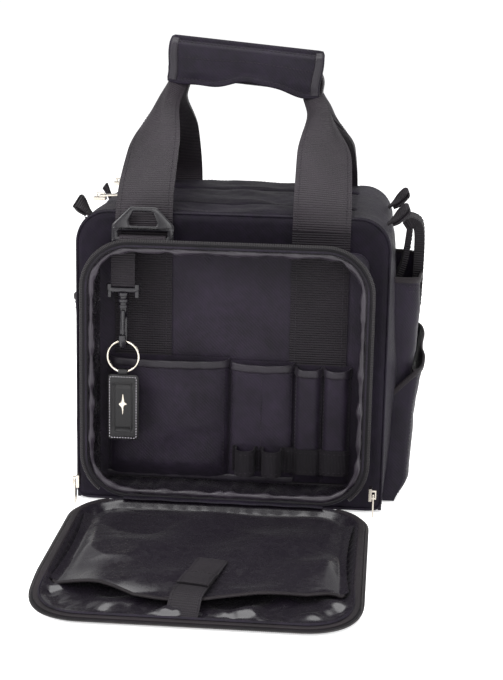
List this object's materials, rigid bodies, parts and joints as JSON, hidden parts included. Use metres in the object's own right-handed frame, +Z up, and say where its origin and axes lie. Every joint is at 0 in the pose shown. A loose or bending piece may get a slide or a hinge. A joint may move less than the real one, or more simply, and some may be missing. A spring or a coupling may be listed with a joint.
{
  "type": "flight bag",
  "caption": "Soft upright flight bag with a zipped front organizer shown open, webbing carrying straps with a padded grip, and side pockets.",
  "frame": {"origin": "centre of the base panel's underside, on the ground the bag stands on", "axes": "+Z up, +Y from the front organizer to the rear panel, +X to the right as the front is faced"},
  "size_m": [0.3227, 0.5027, 0.4067],
  "materials": {
    "nylon": "black nylon twill, padded, slightly faded",
    "lining": "thin satin nylon lining with a soft shine",
    "webbing": "ribbed black webbing",
    "elastic": "fine ribbed elastic",
    "zip": "woven zip tape with a nylon coil",
    "plastic": "satin black moulded plastic",
    "chrome": "polished, slightly warm",
    "leather": "smooth black leather with stitching",
    "board": "stiffening board"
  },
  "bodies": {
    "bag": {"base_panel": "nylon", "base_board": "board", "front_panel": "nylon", "rear_panel": "nylon", "left_gusset": "nylon", "right_gusset": "nylon", "compartment_divider": "lining", "front_zip": "zip", "rear_top_panel": "nylon", "organizer_gusset": "nylon", "compartment_zip": "zip", "phone_pocket": "nylon", "document_pocket": "nylon", "pen_sleeves": "nylon", "elastic_loops": "elastic", "front_strap_left": "webbing", "front_strap_right": "webbing", "rear_strap_left": "webbing", "rear_strap_right": "webbing", "front_handle_left": "webbing", "front_handle_right": "webbing", "rear_handle_left": "webbing", "rear_handle_right": "webbing", "ring_loop_front": "webbing", "ring_loop_rear": "webbing", "front_zip_tab_left": "webbing", "front_zip_tab_right": "webbing", "rear_zip_tab_left": "webbing", "rear_zip_tab_right": "webbing", "right_pocket": "nylon", "slip_pocket": "nylon", "left_pocket": "nylon", "closure_root": "webbing"},
    "front_lid": {"front_lid": "nylon"},
    "main_lid": {"main_lid": "nylon"},
    "front_slider": {"front_zip_slider": "chrome"},
    "front_pull": {"front_zip_pull": "chrome"},
    "rear_slider": {"rear_zip_slider": "chrome"},
    "rear_pull": {"rear_zip_pull": "chrome"},
    "left_slider": {"flap_slider_left": "chrome"},
    "left_pull": {"flap_pull_left": "chrome"},
    "right_slider": {"flap_slider_right": "chrome"},
    "right_pull": {"flap_pull_right": "chrome"},
    "flap": {"flap_panel": "nylon", "flap_lining": "lining", "flap_zip": "zip", "flap_pocket": "lining"},
    "flap_tab": {"flap_tab": "webbing"},
    "handle": {"handle_core": "webbing", "grip_wrap": "nylon"},
    "grip_flap": {"grip_flap": "nylon"},
    "front_ring": {"triangle_ring_front": "plastic"},
    "rear_ring": {"triangle_ring_rear": "plastic"},
    "key_strap": {"key_strap": "webbing", "swivel_bracket": "plastic"},
    "snap_hook": {"snap_hook": "plastic"},
    "hook_gate": {"hook_gate": "plastic"},
    "split_ring": {"split_ring": "chrome"},
    "key_fob": {"key_fob": "leather"},
    "closure_strap": {"closure_strap": "webbing"}
  },
  "joints": [
    {"name": "flap_hinge", "type": "hinge", "parent": "bag", "child": "flap", "pos_m": [0, -0.1535, 0.0195], "axis": [-1, 0, 0], "range_deg": [0, 91.55]},
    {"name": "flap_tab_hinge", "type": "hinge", "parent": "flap", "child": "flap_tab", "pos_m": [0, -0.36821, 0.0057], "axis": [-1, 0, 0], "range_deg": [-85, 0]},
    {"name": "front_lid_hinge", "type": "hinge", "parent": "bag", "child": "front_lid", "pos_m": [0, -0.1032, 0.264], "axis": [-1, 0, 0], "range_deg": [-36, 0]},
    {"name": "main_lid_hinge", "type": "hinge", "parent": "bag", "child": "main_lid", "pos_m": [0, -0.0567, 0.264], "axis": [-1, 0, 0], "range_deg": [-50, 0]},
    {"name": "front_slider_travel", "type": "slide", "parent": "bag", "child": "front_slider", "axis": [1, 0, 0], "range_m": [0, 0.21]},
    {"name": "front_pull_hinge", "type": "hinge", "parent": "front_slider", "child": "front_pull", "pos_m": [-0.124, -0.059, 0.2695], "axis": [0, -1, 0], "range_deg": [0, 160]},
    {"name": "rear_slider_travel", "type": "slide", "parent": "bag", "child": "rear_slider", "axis": [1, 0, 0], "range_m": [0, 0.21]},
    {"name": "rear_pull_hinge", "type": "hinge", "parent": "rear_slider", "child": "rear_pull", "pos_m": [-0.124, 0.045, 0.2695], "axis": [0, -1, 0], "range_deg": [0, 160]},
    {"name": "left_slider_travel", "type": "slide", "parent": "bag", "child": "left_slider", "axis": [0, 0, 1], "range_m": [0, 0.165]},
    {"name": "left_pull_hinge", "type": "hinge", "parent": "left_slider", "child": "left_pull", "pos_m": [-0.1298, -0.151, 0.0315], "axis": [0, 1, 0], "range_deg": [0, 160]},
    {"name": "right_slider_travel", "type": "slide", "parent": "bag", "child": "right_slider", "axis": [0, 0, 1], "range_m": [0, 0.165]},
    {"name": "right_pull_hinge", "type": "hinge", "parent": "right_slider", "child": "right_pull", "pos_m": [0.1298, -0.151, 0.0315], "axis": [0, -1, 0], "range_deg": [0, 160]},
    {"name": "handle_drop", "type": "slide", "parent": "bag", "child": "handle", "axis": [0, 0, -1], "range_m": [0, 0.08], "deforming": ["front_handle_left", "front_handle_right", "rear_handle_left", "rear_handle_right"]},
    {"name": "grip_flap_hinge", "type": "hinge", "parent": "handle", "child": "grip_flap", "pos_m": [0.00148, -0.0138, 0.40093], "axis": [0.9962, 0, -0.0872], "range_deg": [-120, 0]},
    {"name": "front_ring_hinge", "type": "hinge", "parent": "bag", "child": "front_ring", "pos_m": [-0.0768, -0.1149, 0.2395], "axis": [1, 0, 0], "range_deg": [0, 70]},
    {"name": "rear_ring_hinge", "type": "hinge", "parent": "bag", "child": "rear_ring", "pos_m": [0.0768, 0.1149, 0.2395], "axis": [-1, 0, 0], "range_deg": [0, 150]},
    {"name": "key_strap_swing", "type": "hinge", "parent": "bag", "child": "key_strap", "pos_m": [-0.09, -0.1374, 0.2325], "axis": [1, 0, 0], "range_deg": [-60, 0]},
    {"name": "hook_swivel", "type": "hinge", "parent": "key_strap", "child": "snap_hook", "pos_m": [-0.09, -0.1374, 0.1984], "axis": [0, 0, 1], "continuous": true},
    {"name": "gate_hinge", "type": "hinge", "parent": "snap_hook", "child": "hook_gate", "pos_m": [-0.09, -0.1406, 0.182], "axis": [1, 0, 0], "range_deg": [0, 16], "stiffness_Nm_per_rad": 0.004, "springref_deg": -17.19},
    {"name": "split_ring_swing", "type": "hinge", "parent": "snap_hook", "child": "split_ring", "pos_m": [-0.09, -0.1374, 0.1505], "axis": [0, 1, 0], "range_deg": [-40, 8]},
    {"name": "key_fob_swing", "type": "hinge", "parent": "split_ring", "child": "key_fob", "pos_m": [-0.09, -0.1374, 0.12782], "axis": [1, 0, 0], "range_deg": [-60, 8]},
    {"name": "closure_hinge", "type": "hinge", "parent": "bag", "child": "closure_strap", "pos_m": [0.15, 0, 0.2497], "axis": [0, -1, 0], "range_deg": [0, 120]}
  ]
}
